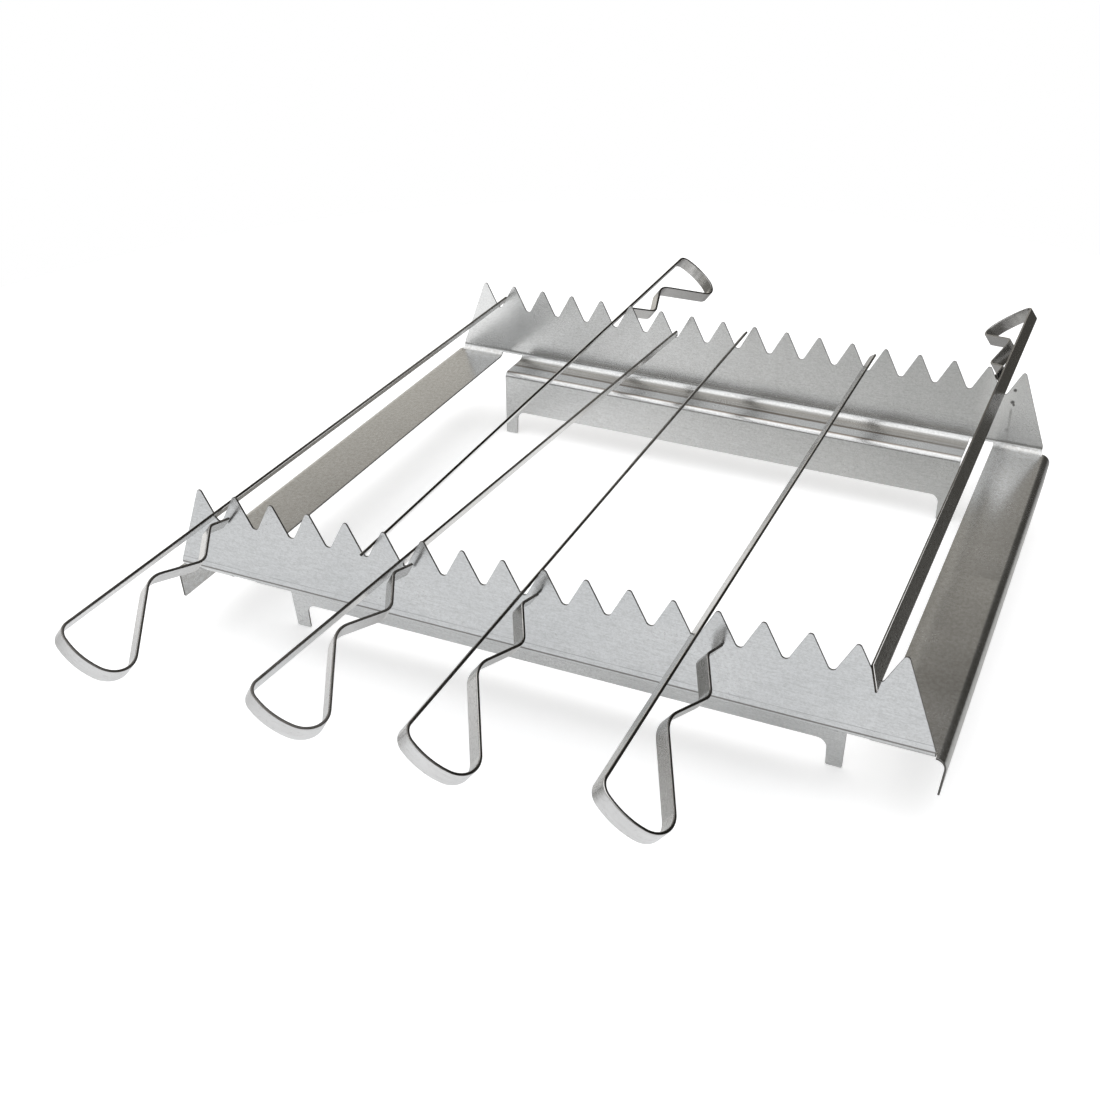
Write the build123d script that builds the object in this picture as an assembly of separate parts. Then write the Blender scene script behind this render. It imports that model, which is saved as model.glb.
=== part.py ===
from build123d import *
from math import atan, cos, radians, sin, tan
import os

# Barbecue skewer rack: one folded stainless sheet with toothed walls front and
# back, and flat strip skewers that lie on edge in its notches.
# Millimetres, +Z up, X along the toothed walls, Y from front to back.

# ---- sheet and teeth ----
SHEET = 1.2             # sheet thickness
PITCH = 25.0            # tooth to tooth
TEETH = 18
TOOTH_DEPTH = 19.1      # tip to notch bottom, after rounding
TIP_R = 1.75
NOTCH_R = 2.5

# ---- frame ----
DEPTH = 372.5           # outside of front wall to outside of back wall, at the bend
PLATE_TOP = 50.0        # ring plate above the ground
WALL_UP = 59.4          # tooth tips above the plate
WALL_LEAN = 0.5         # each wall leans outwards, degrees
WALL_END = 232.5        # half length of a wall at its bend
WALL_BEND = 5.5         # inside bend radii
FLANGE_BEND = 3.0
SIDE_BEND = 5.0
LEDGE = 32.5            # outside of wall to opening side of the inner flange
FLANGE_DOWN = 31.5      # inner flange below the plate top
FLANGE_LEAN = 5.0       # inner flange leans under the opening, degrees
LEDGE_HALF = 180.5      # half length of ledge and inner flange
FOOT_HALF = 178.5       # outside of the leg at the ground
LEG_WIDTH = 9.6
LEG_CORNER_R = 6.0
FOOT_R = 1.0            # rounding of a leg's corners at the ground
RELIEF_UP = 2.1         # corner reliefs reach this far above the plate top, into the bend
STRIP_IN = 198.0        # side strip from here ...
STRIP_OUT = 239.0       # ... to the outside of the side flange
SIDE_DOWN = 24.0        # side flange below the plate top
SIDE_LEAN = 5.5         # side flange leans inwards, degrees
SIDE_END = 184.0        # half length of side flange
SPARE = 5.0             # how far a cutting shape reaches past what it cuts

# ---- skewer, bent from flat strip ----
STRIP_W = 10.0
STRIP_T = 1.8
POINT = 11.5            # slanted cut across the strip that makes the tip
HANDLE_OUT = 135.0      # first handle bend to outside of the wall
# bends after the blade: (centreline radius, angle, straight that follows)
HANDLE_BENDS = [
    (8.0, 76.0, 0.0),
    (38.0, 35.0, 0.0),
    (14.5, 103.0, 44.0),
    (16.5, -52.5, 24.5),
    (10.4, 51.5, 19.0),
    (5.0, -46.0, 12.7),
]
# notch at the front and back wall (counted from the left), handle at the front (1)
# or back (-1), loop towards +X (1) or -X (-1), first handle bend to tip, roll of the
# blade in its notches, offset (x, z) of the blade's middle from the notch bottom at
# front and back, slide along the blade towards the tip, extra closing of the first bend
SKEWERS = {
    "skewer_1": (1, 1, 1, 1, 519, 37.5, (0.7, 6.6), (1.9, 4.8), 2.0, 0.0),
    "skewer_2": (5, 5, -1, 1, 522, 36.5, (1.6, 4.85), (0.8, 6.4), -1.4, 1.0),
    "skewer_3": (6, 7, 1, 1, 511, 29.0, (1.6, 4.95), (2.3, 5.1), 0.6, 0.8),
    "skewer_4": (9, 9, 1, 1, 526, 36.5, (1.7, 4.9), (0.9, 6.2), 2.9, 0.3),
    "skewer_5": (13, 13, 1, 1, 523, 38.0, (1.8, 4.8), (0.8, 6.45), 4.1, -3.0),
    "skewer_6": (17, 17, -1, -1, 532, 35.5, (-2.1, 4.8), (-2.4, 5.4), -12.4, 0.7),
}


def notch_x(i):
    return (i - TEETH / 2) * PITCH


def tooth_slope():
    """Sharp height of a tooth that rounds down to TOOTH_DEPTH, and its half angle."""
    sharp = TOOTH_DEPTH
    for _ in range(60):
        half = atan(PITCH / 2 / sharp)
        sharp = TOOTH_DEPTH + (TIP_R + NOTCH_R) * (1 / sin(half) - 1)
    return sharp, half


def wall_outline():
    """Wall blank in the XZ plane: slanted ends, rounded tips and notches."""
    sharp, half = tooth_slope()
    tip_z = PLATE_TOP + WALL_UP + TIP_R * (1 / sin(half) - 1)
    low_z = tip_z - sharp
    bottom = PLATE_TOP - SHEET - SPARE
    bend_z = PLATE_TOP + WALL_BEND
    pts = [(-WALL_END, bottom), (-WALL_END, bend_z)]
    for i in range(TEETH):
        x = (i - (TEETH - 1) / 2) * PITCH
        if i:
            pts.append((x - PITCH / 2, low_z))
        pts.append((x, tip_z))
    pts += [(WALL_END, bend_z), (WALL_END, bottom)]
    face = make_face(Polyline(*pts, close=True))
    tips = [v for v in face.vertices() if abs(v.Y - tip_z) < 0.01]
    face = fillet(tips, TIP_R)
    lows = [v for v in face.vertices() if abs(v.Y - low_z) < 0.01]
    return fillet(lows, NOTCH_R)


def flange_outline():
    """Inner flange with a leg at each end, in the XZ plane."""
    top = PLATE_TOP + SPARE
    bend_end = PLATE_TOP - SHEET - FLANGE_BEND
    low = PLATE_TOP - FLANGE_DOWN
    inner = FOOT_HALF - LEG_WIDTH
    pts = [
        (-LEDGE_HALF, top), (-LEDGE_HALF, bend_end), (-FOOT_HALF, 0), (-inner, 0),
        (-inner, low), (inner, low), (inner, 0), (FOOT_HALF, 0),
        (LEDGE_HALF, bend_end), (LEDGE_HALF, top),
    ]
    face = make_face(Polyline(*pts, close=True))
    corners = [v for v in face.vertices() if abs(v.Y - low) < 0.01]
    face = fillet(corners, LEG_CORNER_R)
    feet = [v for v in face.vertices() if abs(v.Y) < 0.01]
    return fillet(feet, FOOT_R)


def bent_sheet(points, radii):
    """Sheet cross-section along a centreline with a bend at each inner point."""
    parts = []
    start = Vector(*points[0])
    for i, r in enumerate(radii):
        a, b, c = (Vector(*points[i + k]) for k in range(3))
        into = (b - a).normalized()
        out = (c - b).normalized()
        turn = into.get_angle(out)
        cut = r * tan(radians(turn / 2))
        p, q = b - into * cut, b + out * cut
        if (p - start).length > 0.01:
            parts.append(Line(start, p))
        else:
            p = start
        parts.append(TangentArc(p, q, tangent=into))
        start = q
    parts.append(Line(start, Vector(*points[-1])))
    return trace(Wire(Curve(parts).edges()), SHEET)


def corner_relief(side):
    """Gap between ledge and side strip, carried on into the front wall's bend."""
    width = STRIP_IN - LEDGE_HALF
    deep = WALL_BEND + SHEET + SPARE
    tall = RELIEF_UP + SHEET + SPARE
    y = -DEPTH / 2 - SPARE + deep / 2
    z = PLATE_TOP + RELIEF_UP - tall / 2
    return Pos(side * (LEDGE_HALF + width / 2), y, z) * Box(width, deep, tall)


def rail():
    """Front toothed wall, ledge and inner flange: profile in (y, z), outlines in (x, z)."""
    mid = PLATE_TOP - SHEET / 2
    y0 = -DEPTH / 2 + SHEET / 2
    rise = WALL_UP + SPARE
    y_tip = y0 - rise * tan(radians(WALL_LEAN))
    y1 = -DEPTH / 2 + LEDGE - SHEET / 2
    y_low = y1 + mid * tan(radians(FLANGE_LEAN))
    bend_y = -DEPTH / 2 + WALL_BEND + SHEET
    wall = bent_sheet([(bend_y, mid), (y0, mid), (y_tip, mid + rise)], [WALL_BEND + SHEET / 2])
    ledge = bent_sheet([(bend_y, mid), (y1, mid), (y_low, 0)], [FLANGE_BEND + SHEET / 2])
    walls = extrude(Plane.YZ * wall, WALL_END + SPARE, both=True)
    ledges = extrude(Plane.YZ * ledge, WALL_END + SPARE, both=True)
    walls &= extrude(Plane.XZ * wall_outline(), DEPTH, both=True)
    ledges &= extrude(Plane.XZ * flange_outline(), DEPTH, both=True)
    for side in (-1, 1):
        walls -= corner_relief(side)
    return walls + ledges


def side_strip():
    """Right side strip with its flange folded down: profile in (x, z)."""
    mid = PLATE_TOP - SHEET / 2
    fold = STRIP_OUT - SIDE_BEND - SHEET
    x1 = fold + (SIDE_BEND + SHEET / 2) * tan(radians(45 + SIDE_LEAN / 2))
    low = PLATE_TOP - SIDE_DOWN
    flat_half = DEPTH / 2 - WALL_BEND - SHEET
    x_low = x1 - (mid - low) * tan(radians(SIDE_LEAN))
    bend = bent_sheet([(fold, mid), (x1, mid), (x_low, low)], [SIDE_BEND + SHEET / 2])
    flange = extrude(Plane.XZ * bend, SIDE_END, both=True)
    width = fold - STRIP_IN
    flat = Pos(STRIP_IN + width / 2, 0, mid) * Box(width, 2 * flat_half, SHEET)
    return flat + flange


def frame_solid():
    front = rail()
    right = side_strip()
    return front + front.mirror(Plane.XZ) + right + right.mirror(Plane.YZ)


def handle_path(blade, extra):
    """Strip centreline: u runs towards the tip, v towards the loop; starts at the tip."""
    parts = [Line((blade - HANDLE_OUT, 0), (-HANDLE_OUT, 0))]
    pos, heading = Vector(-HANDLE_OUT, 0), 180.0
    for i, (r, angle, straight) in enumerate(HANDLE_BENDS):
        if i == 0:
            angle += extra
        side = 1 if angle > 0 else -1
        normal = Vector(1, 0).rotate(Axis.Z, heading - 90)
        centre = pos + normal * (r * side)
        end = centre - normal.rotate(Axis.Z, -angle) * (r * side)
        half = centre - normal.rotate(Axis.Z, -angle / 2) * (r * side)
        parts.append(ThreePointArc(pos, half, end))
        pos, heading = end, heading - angle
        if straight:
            step = Vector(1, 0).rotate(Axis.Z, heading) * straight
            parts.append(Line(pos, pos + step))
            pos = pos + step
    return Wire(Curve(parts).edges())


def skewer(front, back, handle, loop, blade, roll, off_f, off_b, slide, extra):
    strip = extrude(trace(handle_path(blade, extra), STRIP_T), STRIP_W / 2, both=True)
    tip = blade - HANDLE_OUT
    half = STRIP_W / 2
    low, past = -half - SPARE, tip + SPARE
    wedge = make_face(Polyline((tip - POINT, -half), (tip - POINT, low), (past, low),
                               (past, half), (tip, half), close=True))
    strip -= extrude(Plane.XZ * wedge, STRIP_T, both=True)
    notch_z = PLATE_TOP + WALL_UP - TOOTH_DEPTH
    lean = (WALL_UP - TOOTH_DEPTH) * tan(radians(WALL_LEAN))
    a = Vector(notch_x(front) + off_f[0], -DEPTH / 2 - lean, notch_z + off_f[1])
    b = Vector(notch_x(back) + off_b[0], DEPTH / 2 + lean, notch_z + off_b[1])
    start, end = (a, b) if handle > 0 else (b, a)
    along = (end - start).normalized()
    up0 = Vector(0, 0, 1)
    side = along.cross(up0).normalized()
    up = side.cross(along)
    if side.X * loop < 0:
        side = side * -1
    lateral = side * cos(radians(roll)) - up * sin(radians(roll))
    width = side * sin(radians(roll)) + up * cos(radians(roll))
    if along.cross(lateral).dot(width) < 0:
        # the same skewer turned over, so its loop is on the other side
        strip = strip.rotate(Axis.X, 180)
    seat = Plane(origin=start + along * slide, x_dir=along, z_dir=width)
    return seat * strip


solids = {"rack_frame": frame_solid()}
for name, how in SKEWERS.items():
    solids[name] = skewer(*how)

# origin at the bottom centre of the whole object
boxes = [s.bounding_box() for s in solids.values()]
mid_x = (min(b.min.X for b in boxes) + max(b.max.X for b in boxes)) / 2
mid_y = (min(b.min.Y for b in boxes) + max(b.max.Y for b in boxes)) / 2
os.makedirs("parts", exist_ok=True)
for name, solid in solids.items():
    export_step(Pos(-mid_x, -mid_y, 0) * solid, "parts/" + name + ".step")
    print(name, len(solid.solids()), round(solid.volume), solid.is_valid)
print("frame centre at", -mid_x, -mid_y)
rack = solids["rack_frame"]
for name, solid in solids.items():
    if name != "rack_frame":
        print(name, "gap to frame", round(rack.distance_to(solid), 3))
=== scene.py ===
"""Barbecue skewer rack: a folded, toothed sheet frame and six flat skewers, in stainless steel."""
from collections import namedtuple
from math import acos, atan, cos, pi, radians, sin, tan

import bmesh
import bpy
from mathutils import Matrix, Vector


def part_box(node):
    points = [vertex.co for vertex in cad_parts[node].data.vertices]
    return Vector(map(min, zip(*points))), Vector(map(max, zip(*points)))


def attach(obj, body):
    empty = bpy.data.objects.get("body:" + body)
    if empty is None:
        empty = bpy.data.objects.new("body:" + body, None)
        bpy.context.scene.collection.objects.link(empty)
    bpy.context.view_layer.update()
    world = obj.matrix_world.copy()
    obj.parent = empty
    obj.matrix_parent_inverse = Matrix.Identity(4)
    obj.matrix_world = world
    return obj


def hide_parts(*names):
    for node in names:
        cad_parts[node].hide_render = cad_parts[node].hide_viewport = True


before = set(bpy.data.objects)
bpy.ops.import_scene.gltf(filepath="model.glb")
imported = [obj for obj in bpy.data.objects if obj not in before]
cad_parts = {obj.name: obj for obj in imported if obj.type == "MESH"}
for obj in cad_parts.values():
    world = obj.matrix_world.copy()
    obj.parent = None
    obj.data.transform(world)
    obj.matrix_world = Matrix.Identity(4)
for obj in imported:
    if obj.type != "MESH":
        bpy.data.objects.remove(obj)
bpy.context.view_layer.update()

MM = 0.001

# ---- sheet frame, millimetres, centred on the frame, ground at z = 0 ----
SHEET = 1.2                     # thickness
EDGE_ROUND = 0.12               # rounding of its cut edges
PITCH = 25.0                    # from tooth to tooth
TEETH = 18                      # in each wall
TOOTH_DEPTH = 19.1
TIP_R = 1.75
NOTCH_R = 2.5
DEPTH = 372.5                   # over the two walls
PLATE_TOP = 50.0                # top of the ring plate above the ground
WALL_UP = 59.4                  # tooth tips above the ring plate
WALL_LEAN = 0.5                 # degrees outwards
WALL_END = 232.5                # foot of a wall's slanted end, from the middle
WALL_BEND = 5.5                 # inner radii of the bends
FLANGE_BEND = 3.0
SIDE_BEND = 5.0
LEDGE = 32.5                    # from a wall's outside to the inner flange
FLANGE_DOWN = 31.5              # lower edge of that flange below the ring plate
FLANGE_LEAN = 5.0               # degrees, its lower edge under the opening
LEDGE_HALF = 180.5
FOOT_HALF = 178.5
LEG_WIDTH = 9.6
LEG_CORNER_R = 6.0
RELIEF_UP = 2.1                 # relief cut between ledge and strip, above the ring plate
STRIP_IN = 198.0                # side strips: inner and outer edge from the middle
STRIP_OUT = 239.0
SIDE_DOWN = 24.0                # lower edge of the side flange below the ring plate
SIDE_LEAN = 5.5                 # degrees inwards
SIDE_END = 184.0                # its ends, from the middle
MID = PLATE_TOP - SHEET / 2                     # middle of the sheet in the ring plate
WALL_START = DEPTH / 2 - WALL_BEND - SHEET      # where the ring plate starts to bend up
SIDE_START = STRIP_OUT - SIDE_BEND - SHEET      # where it starts to bend down at the side

# ---- skewers, millimetres ----
STRIP_W = 10.0
STRIP_T = 1.8
STRIP_ROUND = 0.65              # rounding of the bar's long edges
GRAIN_STEP = 1000.0             # from one bar's grain to the next one's, so that they differ
POINT = 11.5                    # length of the slanted cut at the tip
HANDLE_OUT = 135.0              # first bend, from the wall at the handle's end
# bends after the blade: (centreline radius, angle, straight that follows)
HANDLE_BENDS = [
    (8.0, 76.0, 0.0),
    (38.0, 35.0, 0.0),
    (14.5, 103.0, 44.0),
    (16.5, -52.5, 24.5),
    (10.4, 51.5, 19.0),
    (5.0, -46.0, 12.7),
]
# front and back notch, handle side (1 front), loop side (1 towards +X), length from the first
# bend to the tip, roll about its own length, the blade's offset (x, z) in each notch, how far
# it is slid along itself, and how much further its first bend goes; millimetres and degrees
Seating = namedtuple(
    "Seating", "front back handle loop length roll off_front off_back slide extra_bend"
)
SKEWERS = {
    "skewer_1": Seating(1, 1, 1, 1, 519, 37.5, (0.7, 6.6), (1.9, 4.8), 2.0, 0.0),
    "skewer_2": Seating(5, 5, -1, 1, 522, 36.5, (1.6, 4.85), (0.8, 6.4), -1.4, 1.0),
    "skewer_3": Seating(6, 7, 1, 1, 511, 29.0, (1.6, 4.95), (2.3, 5.1), 0.6, 0.8),
    "skewer_4": Seating(9, 9, 1, 1, 526, 36.5, (1.7, 4.9), (0.9, 6.2), 2.9, 0.3),
    "skewer_5": Seating(13, 13, 1, 1, 523, 38.0, (1.8, 4.8), (0.8, 6.45), 4.1, -3.0),
    "skewer_6": Seating(17, 17, -1, -1, 532, 35.5, (-2.1, 4.8), (-2.4, 5.4), -12.4, 0.7),
}

# ---- marks on the sheet, metres ----
WALL_FACE = (0.1850, 0.1853)    # y past which the sheet is a wall, with a soft limit
LEDGE_ENDS = (0.181, 0.180)     # x within which it is the ledge
STRIP_EDGES = (0.197, 0.198)    # x past which it is a side strip
STRIP_ENDS = (0.1848, 0.1843)   # and y within which it is one
BRAKE_LINE_UP = 0.0587          # line that the press brake left above each upward bend
CREASE_SHADE_UP = 0.0546              # painted shade: darker line at the fold just above the ring plate
# painted dark reflections, as brownish bands along the ledge: distance out, half width, softness,
# colour
LEDGE_PAINTED_DARK_REFLECTIONS = [
    (0.1765, 0.0030, 0.0040, (0.38, 0.360, 0.330)),
    (0.1695, 0.0008, 0.0016, (0.15, 0.120, 0.092)),
    (0.1568, 0.0005, 0.0010, (0.28, 0.245, 0.215)),
]
# dark specks on the back wall, near its right end: x, z and radius
SPECKS = [
    (0.2074, 0.0951, 0.0012),
    (0.2068, 0.0856, 0.0014),
    (0.2078, 0.0837, 0.0009),
    (0.2056, 0.0636, 0.0012),
]
SCRATCH_X = 0.2066              # upright scratch beside them: its x and the middle of its height
SCRATCH_UP = 0.0670

# ---- studio ----
# soft lights: azimuth from +Y towards +X, elevation, full out to this angle from the middle,
# gone at this angle, colour
SOFT_LIGHTS = [
    (180, 76, 50, 62, (0.95, 0.95, 0.96)),      # ceiling
    (180, 84, 20, 46, (0.50, 0.50, 0.51)),      # its brighter middle
    (-150, 29, 17, 29, (0.24, 0.25, 0.27)),     # key, front left
]
FLOOR_RADIUS = 0.80
CAMERA_PLACE = (0.3028, -0.8024, 0.5337)
CAMERA_ANGLES = (21.75, 28.84, 1.03)            # azimuth, elevation and roll, degrees

RACK_LOW, RACK_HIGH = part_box("rack_frame")
CENTRE = Vector(((RACK_LOW.x + RACK_HIGH.x) / 2, (RACK_LOW.y + RACK_HIGH.y) / 2, 0))


# ------------------------------------------------------------------ materials

class NodeTree:
    """Builds the node tree of a material or a world, from empty."""

    def __init__(self, owner):
        owner.use_nodes = True
        self.owner = owner
        self.nodes = owner.node_tree.nodes
        self.links = owner.node_tree.links
        self.nodes.clear()

    def put(self, kind, values=None, links=None, **settings):
        """Adds one node, with its unlinked values, incoming links and settings."""
        node = self.nodes.new(kind)
        for key, value in settings.items():
            setattr(node, key, value)
        for key, value in (values or {}).items():
            node.inputs[key].default_value = value
        for key, source in (links or {}).items():
            self.links.new(source, node.inputs[key])
        return node

    def noise(self, place, stretch, detail=2.0, rough=0.55):
        """Noise with `stretch` features per metre along each axis."""
        scaled = self.put("ShaderNodeVectorMath", {1: stretch}, {0: place}, operation="MULTIPLY")
        node = self.put(
            "ShaderNodeTexNoise",
            {"Scale": 1.0, "Detail": detail, "Roughness": rough},
            {"Vector": scaled.outputs[0]},
        )
        return node.outputs["Fac"]

    def span(self, value, low, high, to_low=0.0, to_high=1.0, smooth=False):
        """Value from low to high, mapped to the second range and held at its ends."""
        kind = "SMOOTHSTEP" if smooth else "LINEAR"
        node = self.put(
            "ShaderNodeMapRange",
            {"From Min": low, "From Max": high, "To Min": to_low, "To Max": to_high},
            {"Value": value},
            interpolation_type=kind,
        )
        return node.outputs["Result"]

    def math(self, operation, a, b):
        """Math node on two values, each a number or an output."""
        node = self.put("ShaderNodeMath", operation=operation)
        for index, value in enumerate((a, b)):
            if isinstance(value, (int, float)):
                node.inputs[index].default_value = value
            else:
                self.links.new(value, node.inputs[index])
        return node.outputs[0]

    def size(self, value):
        """The value without its sign."""
        return self.math("ABSOLUTE", value, 0.0)

    def product(self, *factors):
        """All the factors multiplied; each is a number or an output."""
        result = factors[0]
        for factor in factors[1:]:
            result = self.math("MULTIPLY", result, factor)
        return result

    def blend(self, amount, a, b):
        """Colour a where amount is 0 and b where it is 1; a and b are colours or outputs."""
        node = self.put("ShaderNodeMix", data_type="RGBA")
        self.links.new(amount, node.inputs["Factor"])
        for index, value in ((6, a), (7, b)):
            if isinstance(value, tuple):
                node.inputs[index].default_value = (*value, 1.0)
            else:
                self.links.new(value, node.inputs[index])
        return node.outputs[2]

    def axes(self, place):
        """The x, y and z of a vector."""
        return self.put("ShaderNodeSeparateXYZ", links={0: place}).outputs

    def band(self, value, centre, half, soft):
        """1 where value is within half of centre, falling to 0 over soft."""
        away = self.size(self.math("SUBTRACT", value, centre))
        return self.span(away, half, half + soft, 1.0, 0.0, smooth=True)

    def seen_or_lit(self, seen, lit):
        """Shader `seen` where the camera looks straight at it, and `lit` in all reflections."""
        direct = self.put("ShaderNodeLightPath").outputs["Is Camera Ray"]
        mix = self.put("ShaderNodeMixShader", links={0: direct, 1: lit, 2: seen})
        return mix.outputs[0]

    def finish(self, colour, roughness, height, depth, strength, metallic=1.0):
        """Principled surface with this colour, roughness and bump; depth is in metres."""
        bump = self.put(
            "ShaderNodeBump", {"Strength": strength, "Distance": depth}, {"Height": height}
        )
        self.shader = self.put(
            "ShaderNodeBsdfPrincipled",
            {"Metallic": metallic},
            {"Base Color": colour, "Roughness": roughness, "Normal": bump.outputs[0]},
        )
        self.out = self.put(
            "ShaderNodeOutputMaterial", links={"Surface": self.shader.outputs[0]}
        )
        return self.owner


def ledge_painted_dark_reflections(s, base, x, out, place):
    """Painted dark reflections: brownish, streaky bands along the ledge."""
    streak = s.noise(place, (9, 700, 700), detail=2.0)
    on_ledge = s.span(s.size(x), *LEDGE_ENDS)
    for middle, half, soft, brown in LEDGE_PAINTED_DARK_REFLECTIONS:
        # painted dark reflection: each band pulls the ledge towards its brownish colour, broken up
        # by streaks
        painted_dark = s.product(s.band(out, middle, half, soft), on_ledge)
        painted_dark = s.product(painted_dark, s.span(streak, 0.32, 0.58, 0.50, 1.0))
        base = s.blend(painted_dark, base, brown)
    return base


def back_wall_painted_ends_and_marks(s, base, x, y, z):
    """Painted reflection: brighter ends of the back wall, more at the right; and specks and an
    upright scratch at its right end.
    """
    on_back = s.span(y, *WALL_FACE)
    # painted reflection: the back wall is lightened towards both ends, more at its right end
    ends = s.product(s.span(s.size(x), 0.178, 0.202, smooth=True), on_back)
    ends = s.product(ends, s.span(x, -0.2, 0.2, 0.35, 0.9))
    base = s.blend(ends, base, (0.88, 0.885, 0.88))
    for speck_x, speck_z, radius in SPECKS:
        away = s.put(
            "ShaderNodeCombineXYZ",
            links={"X": s.math("SUBTRACT", x, speck_x), "Y": s.math("SUBTRACT", z, speck_z)},
        )
        away = s.put("ShaderNodeVectorMath", links={0: away.outputs[0]}, operation="LENGTH")
        spot = s.span(away.outputs["Value"], radius * 0.6, radius * 1.4, 0.85, 0.0)
        base = s.blend(s.product(spot, on_back), base, (0.06, 0.055, 0.05))
    upright = s.product(s.band(x, SCRATCH_X, 0.0004, 0.0008), on_back)
    upright = s.product(upright, s.band(z, SCRATCH_UP, 0.0110, 0.0040), 0.5)
    return s.blend(upright, base, (0.16, 0.15, 0.14))


def scratched_strips(s, base, x, out, place):
    """Fine scratches and dull patches on the side strips."""
    on_strip = s.product(s.span(s.size(x), *STRIP_EDGES), s.span(out, *STRIP_ENDS))
    scratch = s.span(s.noise(place, (1400, 16, 1400), detail=1.0), 0.73, 0.80, 0.0, 0.5)
    base = s.blend(s.product(scratch, on_strip), base, (0.80, 0.79, 0.77))
    patch = s.span(s.noise(place, (420, 330, 420), detail=3.0), 0.42, 0.62, 0.0, 0.4)
    return s.blend(s.product(patch, on_strip), base, (0.40, 0.385, 0.36))


def sheet_steel():
    """Rolled stainless sheet: fine satin grain along X, soft clouds, a few specks and marks."""
    s = NodeTree(bpy.data.materials.new("sheet_steel"))
    place = s.put("ShaderNodeTexCoord").outputs["Object"]
    grain = s.noise(place, (140, 1500, 1500), detail=3.0)
    mottle = s.noise(place, (640, 760, 760), detail=4.0, rough=0.7)
    cloud = s.noise(place, (14, 22, 22), detail=3.0)
    sparse = s.noise(place, (240, 260, 260), detail=1.0)
    x, y, z = s.axes(place)
    out = s.size(y)

    base = s.blend(s.span(cloud, 0.35, 0.65), (0.545, 0.552, 0.550), (0.590, 0.594, 0.590))
    base = s.blend(s.span(mottle, 0.42, 0.60, 0.0, 0.36), base, (0.36, 0.36, 0.35))
    base = s.blend(s.span(grain, 0.35, 0.65, 0.0, 0.25), base, (0.80, 0.81, 0.81))
    base = s.blend(s.span(sparse, 0.80, 0.84, 0.0, 0.55), base, (0.20, 0.19, 0.17))

    # faint, broken line above each upward bend, and painted shade along the fold below it
    on_wall = s.span(out, *WALL_FACE)
    patchy = s.span(s.noise(place, (45, 1, 1), detail=2.0), 0.30, 0.60, 0.25, 0.8)
    line = s.product(s.band(z, BRAKE_LINE_UP, 0.00010, 0.00030), on_wall, patchy)
    base = s.blend(line, base, (0.33, 0.33, 0.33))
    # painted shade: dark line along the fold where the walls start to bend up
    crease_shade = s.product(s.band(z, CREASE_SHADE_UP, 0.0003, 0.0006), on_wall, 0.8)
    base = s.blend(crease_shade, base, (0.12, 0.11, 0.10))

    base = ledge_painted_dark_reflections(s, base, x, out, place)
    base = back_wall_painted_ends_and_marks(s, base, x, y, z)
    base = scratched_strips(s, base, x, out, place)

    rough = s.span(cloud, 0.3, 0.7, 0.22, 0.27)
    rough = s.math("ADD", rough, s.span(mottle, 0.3, 0.7, -0.03, 0.03))
    height = s.math("ADD", s.product(grain, 0.6), s.product(mottle, 0.5))
    height = s.math("SUBTRACT", height, s.product(line, 1.5))
    return s.finish(base, rough, height, 0.00003, 0.7)


def cut_edge():
    """Sheared edge of the sheet: darker, with short marks across it."""
    s = NodeTree(bpy.data.materials.new("sheet_cut_edge"))
    place = s.put("ShaderNodeTexCoord").outputs["Object"]
    marks = s.noise(place, (1600, 500, 1600), detail=2.0)
    base = s.blend(s.span(marks, 0.35, 0.65), (0.06, 0.057, 0.053), (0.18, 0.175, 0.165))
    rough = s.span(marks, 0.3, 0.7, 0.38, 0.5)
    return s.finish(base, rough, marks, 0.00003, 0.5)


def strip_steel():
    """Flat bar of the skewers: grain along the bar, dark pits, slightly warm."""
    s = NodeTree(bpy.data.materials.new("strip_steel"))
    place = s.put("ShaderNodeAttribute", attribute_name="along").outputs["Vector"]
    grain = s.noise(place, (60, 2200, 2200), detail=3.0)
    mottle = s.noise(place, (500, 900, 900), detail=2.0)
    cloud = s.noise(place, (25, 60, 60), detail=2.0)
    base = s.blend(s.span(cloud, 0.35, 0.65), (0.55, 0.545, 0.535), (0.63, 0.625, 0.615))
    base = s.blend(s.span(grain, 0.35, 0.65, 0.0, 0.4), base, (0.75, 0.75, 0.74))
    base = s.blend(s.span(mottle, 0.60, 0.72, 0.0, 0.35), base, (0.34, 0.33, 0.32))
    rough = s.span(mottle, 0.3, 0.7, 0.17, 0.26)
    height = s.math("ADD", s.product(grain, 0.7), s.product(mottle, 0.5))
    return s.finish(base, rough, height, 0.00002, 0.6)


def strip_edge_painted_dark():
    """Narrow edges of the bar: smoother, with painted dark reflections in their colour."""
    s = NodeTree(bpy.data.materials.new("strip_edge_painted_dark"))
    place = s.put("ShaderNodeAttribute", attribute_name="along").outputs["Vector"]
    grain = s.noise(place, (90, 1800, 1800), detail=3.0)
    cloud = s.noise(place, (40, 40, 40), detail=2.0)
    # painted dark reflection: the edges' base colour is near black
    base = s.blend(s.span(grain, 0.35, 0.65), (0.07, 0.067, 0.062), (0.16, 0.152, 0.144))
    rough = s.span(cloud, 0.3, 0.7, 0.20, 0.30)
    return s.finish(base, rough, grain, 0.00002, 0.5)


# ------------------------------------------------------------------ mesh tools

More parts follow.
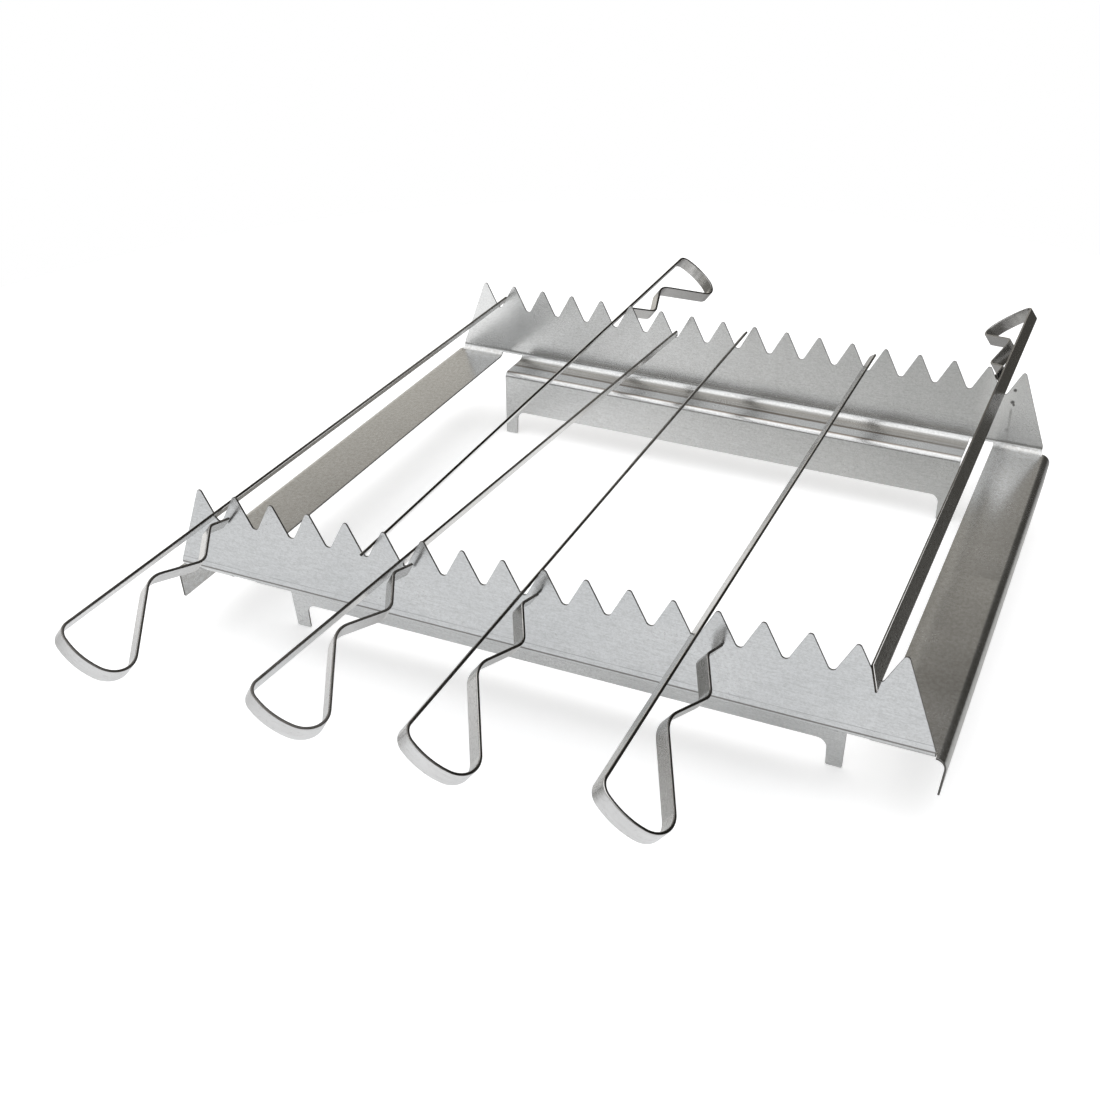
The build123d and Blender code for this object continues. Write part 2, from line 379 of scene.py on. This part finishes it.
def rounded(corners, step=10.0):
    """Outline through (x, y, radius) corners, with an arc in each corner that has a radius."""
    points = []
    count = len(corners)
    for i, (x, y, radius) in enumerate(corners):
        here = Vector((x, y))
        if radius == 0:
            points.append(here)
            continue
        before = (Vector(corners[i - 1][:2]) - here).normalized()
        after = (Vector(corners[(i + 1) % count][:2]) - here).normalized()
        half = before.angle(after) / 2
        centre = here + (before + after).normalized() * (radius / sin(half))
        first = here + before * (radius / tan(half)) - centre
        turn = pi - 2 * half
        side = 1 if before.x * after.y - before.y * after.x < 0 else -1
        pieces = max(2, round(turn / radians(step)))
        for k in range(pieces + 1):
            points.append(centre + Matrix.Rotation(side * turn * k / pieces, 2) @ first)
    return points


def after_bend(distance, start, radius, turn):
    """Run and rise, `distance` along a sheet that bends by `turn` from `start` on."""
    if distance <= start:
        return distance, 0.0
    angle = min((distance - start) / radius, turn)
    rest = distance - start - radius * angle
    run = start + radius * sin(angle) + rest * cos(angle)
    rise = radius * (1 - cos(angle)) + rest * sin(angle)
    return run, rise


def new_object(name, bm, *materials):
    """Turns the bmesh into an object with these materials."""
    mesh = bpy.data.meshes.new(name)
    bm.to_mesh(mesh)
    bm.free()
    for material in materials:
        mesh.materials.append(material)
    obj = bpy.data.objects.new(name, mesh)
    bpy.context.scene.collection.objects.link(obj)
    return obj


def cut_across(bm, axis, places):
    """Cuts the flat blank along lines where coordinate `axis` has each of these values."""
    normal = Vector((0, 0, 0))
    normal[axis] = 1
    for place in places:
        bmesh.ops.bisect_plane(
            bm, geom=bm.verts[:] + bm.edges[:] + bm.faces[:], dist=1e-5,
            plane_co=normal * place, plane_no=normal,
        )


def soften_edges(obj, width, segments=2):
    """Rounds every edge that turns by more than 50 degrees; width in millimetres."""
    bevel = obj.modifiers.new("edges", "BEVEL")
    bevel.width = width * MM
    bevel.segments = segments
    bevel.limit_method = "ANGLE"
    bevel.angle_limit = radians(50)
    bevel.use_clamp_overlap = False
    bevel.harden_normals = True


# ------------------------------------------------------------------ sheet frame

# bends: distance along the blank at which each starts, radius of the sheet's middle, angle
WALL = (0.0, WALL_BEND + SHEET / 2, radians(90 - WALL_LEAN))
FLANGE_R = FLANGE_BEND + SHEET / 2
FLANGE_TURN = radians(90 - FLANGE_LEAN)
LEDGE_FLAT = LEDGE - SHEET / 2 - WALL_BEND - SHEET - FLANGE_R * tan(FLANGE_TURN / 2)
FLANGE = (LEDGE_FLAT, FLANGE_R, FLANGE_TURN)
SIDE = (SIDE_START, SIDE_BEND + SHEET / 2, radians(90 + SIDE_LEAN))


def blank_at(height, bend):
    """Distance along the blank at which the sheet past a bend has this rise or drop."""
    start, radius, turn = bend
    past = (height - radius * (1 - cos(turn))) / sin(turn)
    return start + radius * turn + past


def blank_at_bend(height, bend):
    """The same, for a height that is still inside the bend."""
    start, radius, turn = bend
    return start + radius * acos(1 - height / radius)


def blank_outline():
    """Front half of the flat blank: u along the walls, w outwards from the ring plate."""
    # height of a tooth with sharp corners, which is TOOTH_DEPTH once they are rounded
    sharp = TOOTH_DEPTH
    for _ in range(60):
        half = atan(PITCH / 2 / sharp)
        sharp = TOOTH_DEPTH + (TIP_R + NOTCH_R) * (1 / sin(half) - 1)
    tip = blank_at(PLATE_TOP + WALL_UP + TIP_R * (1 / sin(half) - 1) - MID, WALL)
    notch = tip - sharp
    slant_foot = blank_at(PLATE_TOP + WALL_BEND - MID, WALL)
    foot = -blank_at(MID, FLANGE)
    low = -blank_at(MID - PLATE_TOP + FLANGE_DOWN, FLANGE)
    leg_in = FOOT_HALF - LEG_WIDTH
    side_edge = blank_at(MID - PLATE_TOP + SIDE_DOWN, SIDE)
    overhang = SIDE_END - WALL_START
    relief = blank_at_bend(RELIEF_UP + SHEET / 2, WALL)
    bend_end = -blank_at(SHEET / 2 + FLANGE_BEND, FLANGE)
    right = [((i + 0.5) * PITCH, tip, TIP_R) for i in range(TEETH // 2)]
    valleys = [((i + 1) * PITCH, notch, NOTCH_R) for i in range(TEETH // 2 - 1)]
    teeth = [point for pair in zip(right, valleys) for point in pair] + right[-1:]
    corner = [
        (WALL_END, slant_foot, 1.0), (WALL_END, 0, 0), (SIDE_START, 0, 0),
        (SIDE_START, overhang, 0), (side_edge, overhang, 1.0), (side_edge, -WALL_START, 0),
        (STRIP_IN, -WALL_START, 0), (STRIP_IN, relief, 0.5), (LEDGE_HALF, relief, 0.5),
        (LEDGE_HALF, bend_end, 0), (FOOT_HALF, foot, 1.0), (leg_in, foot, 1.0),
        (leg_in, low, LEG_CORNER_R),
    ]
    half_outline = teeth + corner
    mirrored = [(-x, w, r) for x, w, r in reversed(half_outline)]
    return rounded([(0, notch, NOTCH_R)] + half_outline + mirrored)


def folded(u, w):
    """Where a point of the flat blank ends up on the folded frame."""
    # walls and inner flanges are folded along lines of w, the side flanges along lines of u
    x, y, z = u, -WALL_START - w, MID
    if w > 0 and abs(u) < SIDE_START - 0.1:
        run, rise = after_bend(w, *WALL)
        y, z = -WALL_START - run, MID + rise
    elif w < 0 and abs(u) < STRIP_IN - 1:
        run, rise = after_bend(-w, *FLANGE)
        y, z = -WALL_START + run, MID - rise
    if abs(u) > SIDE_START:
        run, rise = after_bend(abs(u), *SIDE)
        x, z = run * (1 if u > 0 else -1), MID - rise
    return Vector((x, y, z)) * MM


def bend_lines(bend, pieces=12):
    """Where the blank is cut across so that it can follow the bend."""
    start, radius, turn = bend
    return [start + radius * turn * k / pieces for k in range(pieces + 1)]


def rack_sheet():
    """Front half of the sheet, cut, folded, mirrored to the back and given its thickness."""
    bm = bmesh.new()
    bm.faces.new([bm.verts.new((p.x, p.y, 0)) for p in blank_outline()])
    side = bend_lines(SIDE)
    cut_across(bm, 0, side + [-u for u in side])
    cut_across(bm, 1, bend_lines(WALL) + [-w for w in bend_lines(FLANGE)])
    cut_across(bm, 0, [(i - TEETH / 2) * PITCH / 2 for i in range(TEETH + 1)])
    for v in bm.verts:
        v.co = folded(v.co.x, v.co.y)
    for face in bm.faces:
        face.smooth = True
    obj = new_object("rack_sheet", bm, SHEET_STEEL, CUT_EDGE)
    mirror = obj.modifiers.new("back_half", "MIRROR")
    mirror.use_axis = (False, True, False)
    mirror.merge_threshold = 0.01 * MM
    thick = obj.modifiers.new("sheet", "SOLIDIFY")
    thick.thickness = SHEET * MM
    thick.offset = 0
    thick.use_even_offset = True
    thick.material_offset_rim = 1
    soften_edges(obj, EDGE_ROUND)
    obj.location = CENTRE
    return obj


# ------------------------------------------------------------------ skewers

def heading_vector(degrees):
    """Unit vector in the plane that a handle is bent in."""
    return Vector((cos(radians(degrees)), sin(radians(degrees))))


def handle_path(length, extra_bend, step=5.0):
    """Points and headings of the bar's centreline, from the tip to the end of the handle."""
    spots = [(Vector((length - HANDLE_OUT, 0)), 180.0), (Vector((-HANDLE_OUT, 0)), 180.0)]
    for i, (radius, angle, straight) in enumerate(HANDLE_BENDS):
        if i == 0:
            angle += extra_bend
        start, heading = spots[-1]
        side = 1 if angle > 0 else -1
        spoke = heading_vector(heading - 90) * radius * side
        pieces = max(3, round(abs(angle) / step))
        for k in range(1, pieces + 1):
            part = angle * k / pieces
            turned = Matrix.Rotation(radians(-part), 2) @ spoke
            spots.append((start + spoke - turned, heading - part))
        if straight:
            end, heading = spots[-1]
            spots.append((end + heading_vector(heading) * straight, heading))
    return spots


def seat(how):
    """Origin and axes of a skewer that lies in its two notches."""
    notch_z = PLATE_TOP + WALL_UP - TOOTH_DEPTH
    lean = (WALL_UP - TOOTH_DEPTH) * tan(radians(WALL_LEAN))
    ends = []
    for wall, notch, (off_x, off_z) in (
        (-1, how.front, how.off_front), (1, how.back, how.off_back)
    ):
        x = (notch - TEETH / 2) * PITCH + off_x
        ends.append(Vector((x, wall * (DEPTH / 2 + lean), notch_z + off_z)))
    start, end = ends if how.handle > 0 else reversed(ends)
    along = (end - start).normalized()
    side = along.cross(Vector((0, 0, 1))).normalized()
    up = side.cross(along)
    if side.x * how.loop < 0:
        side = -side
    roll = radians(how.roll)
    lateral = side * cos(roll) - up * sin(roll)
    width = side * sin(roll) + up * cos(roll)
    return start + along * how.slide, along, lateral, width


def swept_bar(bm, spots, number):
    """Bar of the strip's section along the path. Its corners keep their place in the straight
    bar as the attribute `along`, which the grain follows."""
    half_t, half_w = STRIP_T / 2, STRIP_W / 2
    section = [(-half_t, -half_w), (half_t, -half_w), (half_t, half_w), (-half_t, half_w)]
    place = bm.verts.layers.float_vector.new("along")
    rings = []
    travelled = 0.0
    for i, (spot, heading) in enumerate(spots):
        if i:
            travelled += (spot - spots[i - 1][0]).length
        right = heading_vector(heading - 90)
        ring = []
        for across, up in section:
            corner = spot + right * across
            v = bm.verts.new((corner.x, corner.y, up))
            v[place] = Vector((travelled + number * GRAIN_STEP, up, across)) * MM
            ring.append(v)
        rings.append(ring)
    for a, b in zip(rings, rings[1:]):
        for k in range(4):
            face = bm.faces.new((a[k], a[(k + 1) % 4], b[(k + 1) % 4], b[k]))
            face.material_index = 1 if k % 2 == 0 else 0
    bm.faces.new(rings[0][::-1]).material_index = 1
    bm.faces.new(rings[-1]).material_index = 1


def cut_tip(bm, length, side):
    """Slanted cut at the tip; side is 1 if it runs back from the bar's upper edge, else -1."""
    slant = Vector((STRIP_W, 0, -POINT * side)).normalized()
    corner = Vector((length - HANDLE_OUT, 0, STRIP_W / 2 * side))
    cut = bmesh.ops.bisect_plane(
        bm, geom=bm.verts[:] + bm.edges[:] + bm.faces[:], dist=1e-5,
        plane_co=corner, plane_no=slant, clear_outer=True,
    )
    rim = [e for e in cut["geom_cut"] if isinstance(e, bmesh.types.BMEdge)]
    cap = bmesh.ops.contextual_create(bm, geom=rim)
    for face in cap["faces"]:
        face.material_index = 1


def skewer(name, number, how):
    """One skewer, swept, cut and laid in its notches."""
    origin, along, lateral, width = seat(how)
    turned_over = along.cross(lateral).dot(width) < 0
    bm = bmesh.new()
    swept_bar(bm, handle_path(how.length, how.extra_bend), number)
    cut_tip(bm, how.length, -1 if turned_over else 1)
    for v in bm.verts:
        flat = v.co.copy()
        v.co = (origin + along * flat.x + lateral * flat.y + width * flat.z) * MM
    for face in bm.faces:
        face.smooth = True
    bmesh.ops.recalc_face_normals(bm, faces=bm.faces[:])
    obj = new_object(name, bm, STRIP_STEEL, STRIP_EDGE_PAINTED_DARK)
    soften_edges(obj, STRIP_ROUND, segments=5)
    obj.location = CENTRE
    return obj


# ------------------------------------------------------------------ studio

def floor():
    """Plain pale round table top. The steel reflects a duller one with painted shadow and shade:
    darker under the right of the frame and to the back.
    """
    bm = bmesh.new()
    bmesh.ops.create_circle(bm, cap_ends=True, segments=96, radius=FLOOR_RADIUS)
    s = NodeTree(bpy.data.materials.new("pale_floor"))
    place = s.put("ShaderNodeTexCoord").outputs["Object"]
    x, y, _ = s.axes(place)
    cloud = s.noise(place, (3, 3, 3), detail=2.0)
    base = s.blend(s.span(cloud, 0.3, 0.7), (0.80, 0.805, 0.81), (0.84, 0.845, 0.85))
    rough = s.span(cloud, 0.0, 1.0, 0.85, 0.95)
    obj = new_object("floor", bm, s.finish(base, rough, cloud, 0.0001, 0.1, metallic=0.0))
    fill = s.put("ShaderNodeEmission", {"Strength": 0.45})
    pale = s.put("ShaderNodeAddShader", links={0: s.shader.outputs[0], 1: fill.outputs[0]})

    # painted shadow and shade that the steel reflects, glowing a little in the same tone: under
    # the frame darker from left to right, then in front of it and behind it
    painted_shade_tone = s.blend(s.span(x, -0.18, 0.12), (1.0, 1.0, 1.0), (0.64, 0.64, 0.63))
    painted_shade_tone = s.blend(s.span(y, -0.24, -0.10), (0.76, 0.77, 0.785), painted_shade_tone)
    painted_shade_tone = s.blend(s.span(y, 0.15, 0.35), painted_shade_tone, (0.30, 0.30, 0.30))
    dull_painted_shade = s.put(
        "ShaderNodeBsdfPrincipled",
        {
            "Metallic": 0.28, "Roughness": 0.32, "Specular IOR Level": 0.2,
            "Emission Strength": 0.28,
        },
        {"Base Color": painted_shade_tone, "Emission Color": painted_shade_tone},
    )
    s.links.new(s.seen_or_lit(pale.outputs[0], dull_painted_shade.outputs[0]), s.out.inputs["Surface"])
    obj.location.z = -0.1 * MM


def backdrop(s, direction):
    """Wall behind that darkens upwards and to both sides, and a dim room in front."""
    x, y, z = s.axes(direction)
    left = (0.22, 0.215, 0.20)
    wall = s.blend(s.span(z, 0.39, 0.58), (0.80, 0.77, 0.71), (0.18, 0.165, 0.142))
    wall = s.blend(s.span(x, -0.10, 0.25, smooth=True), wall, (0.065, 0.062, 0.055))
    wall = s.blend(s.span(x, -0.95, -0.80, smooth=True), left, wall)
    front = s.blend(s.span(x, -0.20, 0.30, smooth=True), left, (0.12, 0.115, 0.11))
    return s.blend(s.span(y, -0.10, 0.40, smooth=True), front, wall)


def studio():
    """Soft lights and backdrop for the steel; the camera sees plain white behind the floor."""
    world = bpy.data.worlds.new("studio")
    bpy.context.scene.world = world
    s = NodeTree(world)
    direction = s.put("ShaderNodeTexCoord").outputs["Generated"]
    colour = backdrop(s, direction)
    for azimuth, elevation, full, gone, light in SOFT_LIGHTS:
        a, e = radians(azimuth), radians(elevation)
        middle = (sin(a) * cos(e), cos(a) * cos(e), sin(e))
        near = s.put(
            "ShaderNodeVectorMath", {1: middle}, {0: direction}, operation="DOT_PRODUCT"
        )
        lobe = s.span(near.outputs["Value"], cos(radians(gone)), cos(radians(full)), smooth=True)
        glow = s.blend(lobe, (0.0, 0.0, 0.0), light)
        total = s.put("ShaderNodeVectorMath", links={0: colour, 1: glow}, operation="ADD")
        colour = total.outputs[0]
    lit = s.put("ShaderNodeBackground", {"Strength": 1.0}, {"Color": colour})
    plain = s.put("ShaderNodeBackground", {"Color": (1, 1, 1, 1), "Strength": 1.0})
    both = s.seen_or_lit(plain.outputs[0], lit.outputs[0])
    s.put("ShaderNodeOutputWorld", links={"Surface": both})


def camera():
    """Standing in front, a little to the right, looking down on the rack."""
    azimuth, elevation, roll = (radians(angle) for angle in CAMERA_ANGLES)
    back = Vector((sin(azimuth) * cos(elevation), -cos(azimuth) * cos(elevation), sin(elevation)))
    right = (-back).cross(Vector((0, 0, 1))).normalized()
    up = back.cross(right)
    across = right * cos(roll) + up * sin(roll)
    upright = up * cos(roll) - right * sin(roll)
    data = bpy.data.cameras.new("camera")
    data.sensor_width = 36.0
    data.lens = 48.04
    data.shift_x = -0.0688
    data.shift_y = -0.0583
    data.clip_start = 0.01
    data.clip_end = 100.0
    obj = bpy.data.objects.new("camera", data)
    axes = Matrix((across, upright, back)).transposed()
    obj.matrix_world = Matrix.Translation(Vector(CAMERA_PLACE)) @ axes.to_4x4()
    bpy.context.scene.collection.objects.link(obj)
    bpy.context.scene.camera = obj


# ------------------------------------------------------------------ scene

SHEET_STEEL = sheet_steel()
CUT_EDGE = cut_edge()
STRIP_STEEL = strip_steel()
STRIP_EDGE_PAINTED_DARK = strip_edge_painted_dark()

rack = rack_sheet()
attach(rack, "rack")
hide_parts("rack_frame")
for number, (node, how) in enumerate(SKEWERS.items(), start=1):
    bar = skewer(node + "_bar", number, how)
    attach(bar, node)
    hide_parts(node)

floor()
studio()
camera()
bpy.context.scene.view_settings.view_transform = "Standard"
